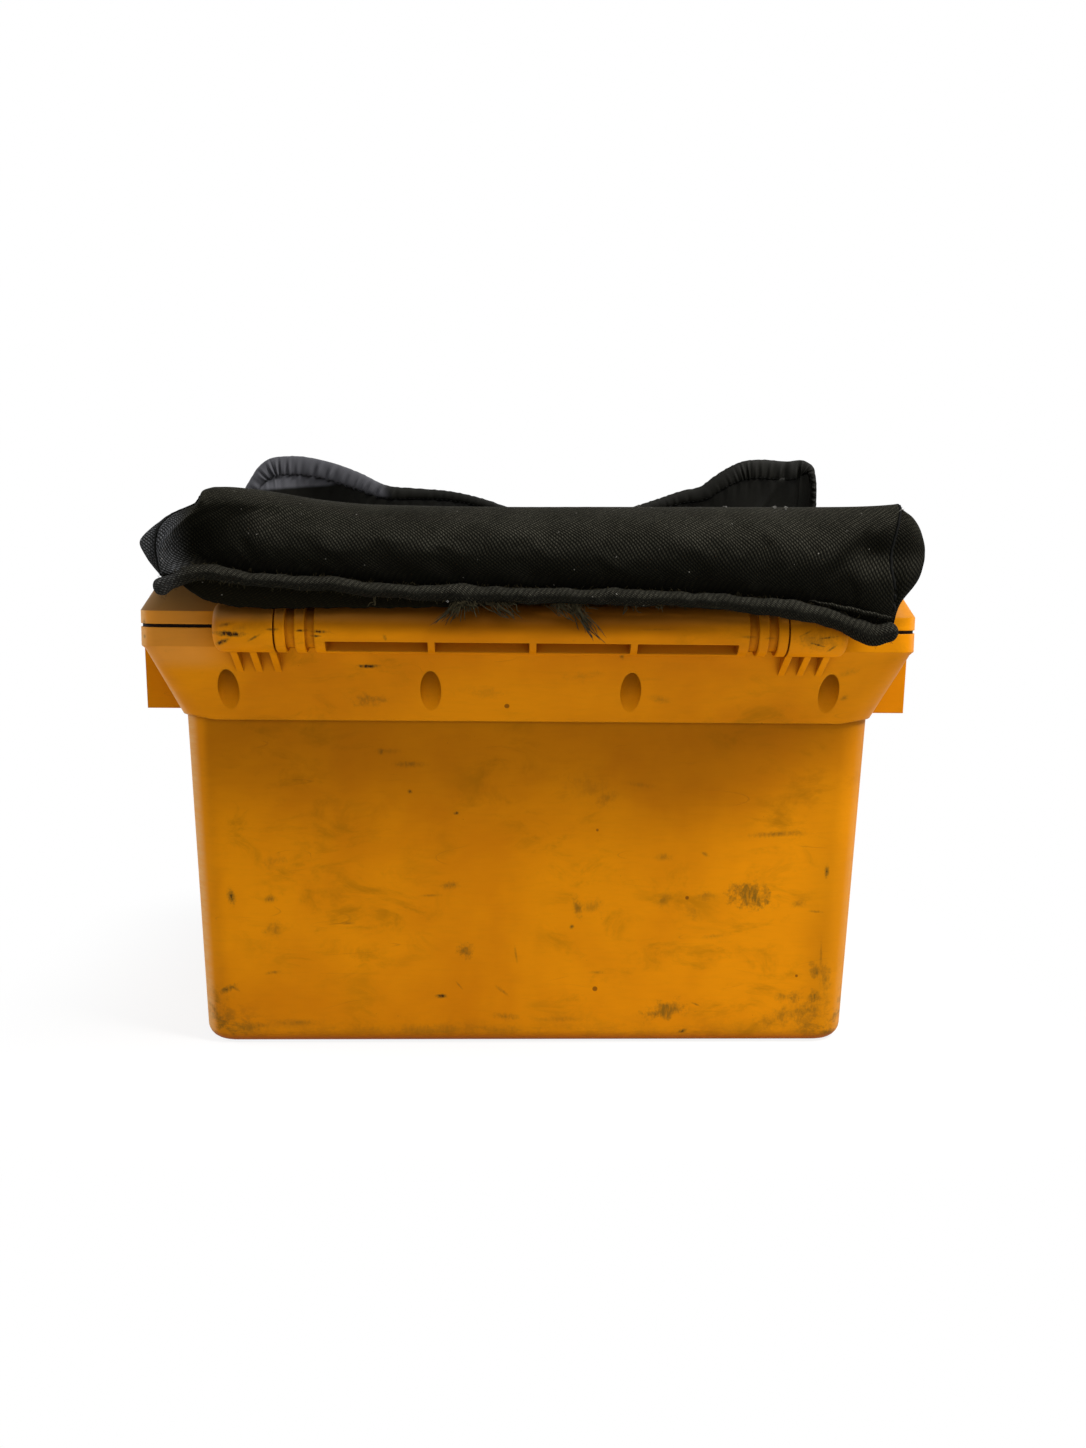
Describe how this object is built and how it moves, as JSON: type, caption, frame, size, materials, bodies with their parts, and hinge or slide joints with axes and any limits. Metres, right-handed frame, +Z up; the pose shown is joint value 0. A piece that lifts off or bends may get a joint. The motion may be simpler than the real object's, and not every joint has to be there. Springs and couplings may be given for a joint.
{
  "type": "lidded bottle crate",
  "caption": "Lidded carrying crate for bottles: drafted tub, flared screwed collar, long barrel hinge, swing-up latches, hand grips, slatted divider and a loose seat pad.",
  "frame": {"origin": "on the floor, under the centre of the tub's flat base", "axes": "+X to the right when facing the hinge side, +Y from the hinge side to the latches, +Z up"},
  "size_m": [0.48, 0.3794, 0.3825],
  "materials": {
    "orange_plastic": "worn satin moulded plastic",
    "steel": "dull zinc plate",
    "seal_rubber": "matt",
    "divider_plastic": "matt sheet",
    "pad_fabric": "coarse twill, worn"
  },
  "bodies": {
    "crate": {"tub": "orange_plastic", "rim_frame": "orange_plastic", "grip_left": "orange_plastic", "grip_right": "orange_plastic", "rim_screws": "steel", "grip_screws": "steel", "hinge_pin_left": "steel", "hinge_pin_right": "steel", "latch_pin_left": "steel", "latch_pin_right": "steel", "divider_long_1": "divider_plastic", "divider_long_2": "divider_plastic", "divider_cross_1": "divider_plastic", "divider_cross_2": "divider_plastic", "divider_cross_3": "divider_plastic"},
    "lid": {"lid_shell": "orange_plastic", "lid_liner": "orange_plastic", "lid_gasket": "seal_rubber"},
    "left_latch": {"latch_left": "orange_plastic"},
    "right_latch": {"latch_right": "orange_plastic"},
    "pad": {"seat_pad": "pad_fabric"}
  },
  "joints": [
    {"name": "lid_hinge", "type": "hinge", "parent": "crate", "child": "lid", "pos_m": [0, -0.174, 0.2645], "axis": [1, 0, 0], "range_deg": [0, 100]},
    {"name": "left_latch_pivot", "type": "hinge", "parent": "crate", "child": "left_latch", "pos_m": [-0.13, 0.1735, 0.244], "axis": [1, 0, 0], "range_deg": [0, 180]},
    {"name": "right_latch_pivot", "type": "hinge", "parent": "crate", "child": "right_latch", "pos_m": [0.13, 0.1735, 0.244], "axis": [1, 0, 0], "range_deg": [0, 180]},
    {"name": "pad_lift", "type": "slide", "parent": "lid", "child": "pad", "axis": [0, 0, 1], "range_m": [0, 0.12]}
  ]
}
